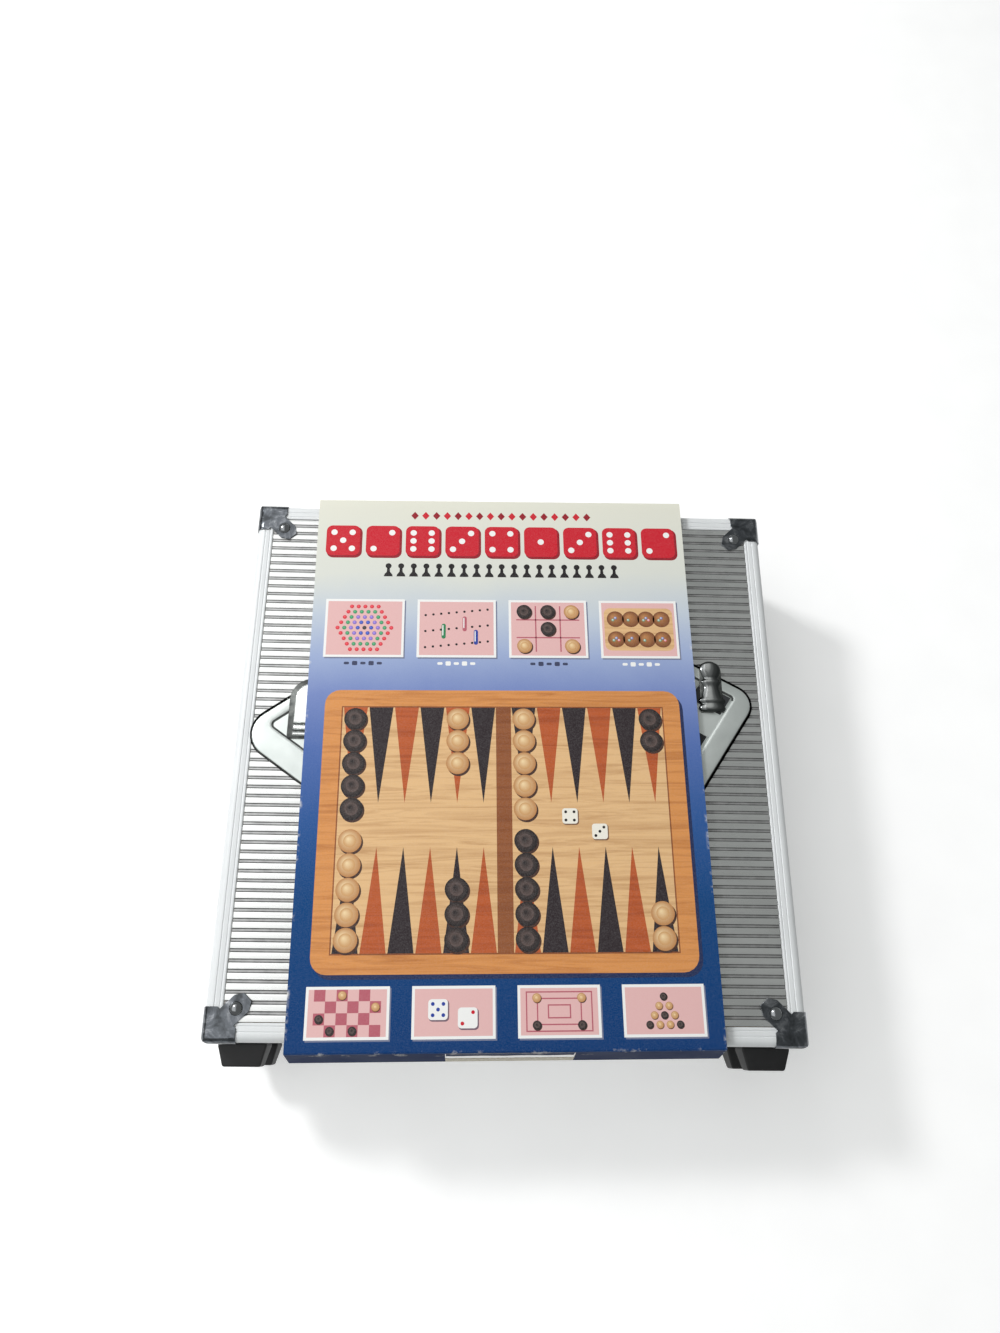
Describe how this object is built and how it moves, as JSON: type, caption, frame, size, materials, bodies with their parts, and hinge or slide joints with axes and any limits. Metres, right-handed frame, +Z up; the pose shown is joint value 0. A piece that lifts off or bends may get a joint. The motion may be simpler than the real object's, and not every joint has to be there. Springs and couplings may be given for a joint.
{
  "type": "games compendium box",
  "caption": "Square aluminium games case with a hinged ribbed lid, corner caps, latches, a handle, a lift-off printed lid card, and boards and pieces in a tray.",
  "frame": {"origin": "middle of the base's underside, on the ground plane", "axes": "+Z up through the lid, +X to the right seen from the hinged side, +Y from the hinges towards the handle and latches"},
  "size_m": [0.33, 0.354, 0.0978],
  "materials": {
    "fibreboard": "plain fibreboard",
    "ribbed_sheet": "ribbed, satin",
    "profile": "drawn, satin anodised",
    "cap_steel": "pressed, bright plated",
    "rivet": "bright plated",
    "lining": "flocked lining",
    "foot_plastic": "moulded black",
    "hardware": "plated steel",
    "lever": "bright plated",
    "grip": "moulded black",
    "tray_wood": "plain pine",
    "board_wood": "lacquered light wood",
    "light_wood": "lacquered light wood",
    "dark_wood": "stained dark wood",
    "die": "moulded ivory",
    "peg": "moulded",
    "marble": "coloured glass",
    "stone": "coloured glass",
    "playing_card": "stacked cards",
    "emblem": "silver plated moulding",
    "lid_card": "printed and varnished card"
  },
  "bodies": {
    "base": {"base_floor_board": "fibreboard", "base_wall_boards": "fibreboard", "base_bottom_sheet": "ribbed_sheet", "base_side_sheets": "ribbed_sheet", "base_edge_profiles": "profile", "base_corner_posts": "profile", "base_rim_profiles": "profile", "base_corner_caps": "cap_steel", "base_rivets": "rivet", "base_lining": "lining", "base_feet": "foot_plastic", "lower_hinge_leaves": "hardware", "lower_hinge_rivets": "rivet", "hinge_pins": "hardware", "latch_plates": "hardware", "latch_pins": "hardware", "handle_brackets": "hardware", "handle_pins": "hardware", "tray_floor": "tray_wood", "tray_sides": "tray_wood", "tray_dividers": "tray_wood", "chess_board": "board_wood", "race_board": "board_wood", "star_board": "board_wood", "scoring_board": "board_wood", "light_chess_pieces": "light_wood", "dark_chess_pieces": "dark_wood", "light_draughts": "light_wood", "dark_draughts": "dark_wood", "dice": "die", "marbles": "marble", "counting_stones": "stone", "scoring_pegs": "peg", "card_decks": "playing_card"},
    "lid": {"lid_top_board": "fibreboard", "lid_wall_boards": "fibreboard", "lid_top_sheet": "ribbed_sheet", "lid_side_sheets": "ribbed_sheet", "lid_edge_profiles": "profile", "lid_corner_posts": "profile", "lid_rim_profiles": "profile", "lid_corner_caps": "cap_steel", "lid_rivets": "rivet", "lid_lining": "lining", "lid_feet": "foot_plastic", "upper_hinge_leaves": "hardware", "upper_hinge_rivets": "rivet", "latch_catches": "hardware", "emblem_plate": "emblem", "emblem_pieces": "emblem"},
    "card": {"lid_card": "lid_card"},
    "left_latch": {"left_latch_lever": "lever"},
    "right_latch": {"right_latch_lever": "lever"},
    "handle": {"handle_grip": "grip"}
  },
  "joints": [
    {"name": "lid_hinge", "type": "hinge", "parent": "base", "child": "lid", "pos_m": [0, -0.168, 0.05015], "axis": [1, 0, 0], "range_deg": [0, 100]},
    {"name": "card_lift", "type": "slide", "parent": "lid", "child": "card", "axis": [0, 0, 1], "range_m": [0, 0.08]},
    {"name": "left_latch_swing", "type": "hinge", "parent": "base", "child": "left_latch", "pos_m": [-0.1, 0.17, 0.03], "axis": [-1, 0, 0], "range_deg": [0, 100]},
    {"name": "right_latch_swing", "type": "hinge", "parent": "base", "child": "right_latch", "pos_m": [0.1, 0.17, 0.03], "axis": [-1, 0, 0], "range_deg": [0, 100]},
    {"name": "handle_swing", "type": "hinge", "parent": "base", "child": "handle", "pos_m": [0, 0.1722, 0.034], "axis": [1, 0, 0], "range_deg": [0, 95]}
  ]
}
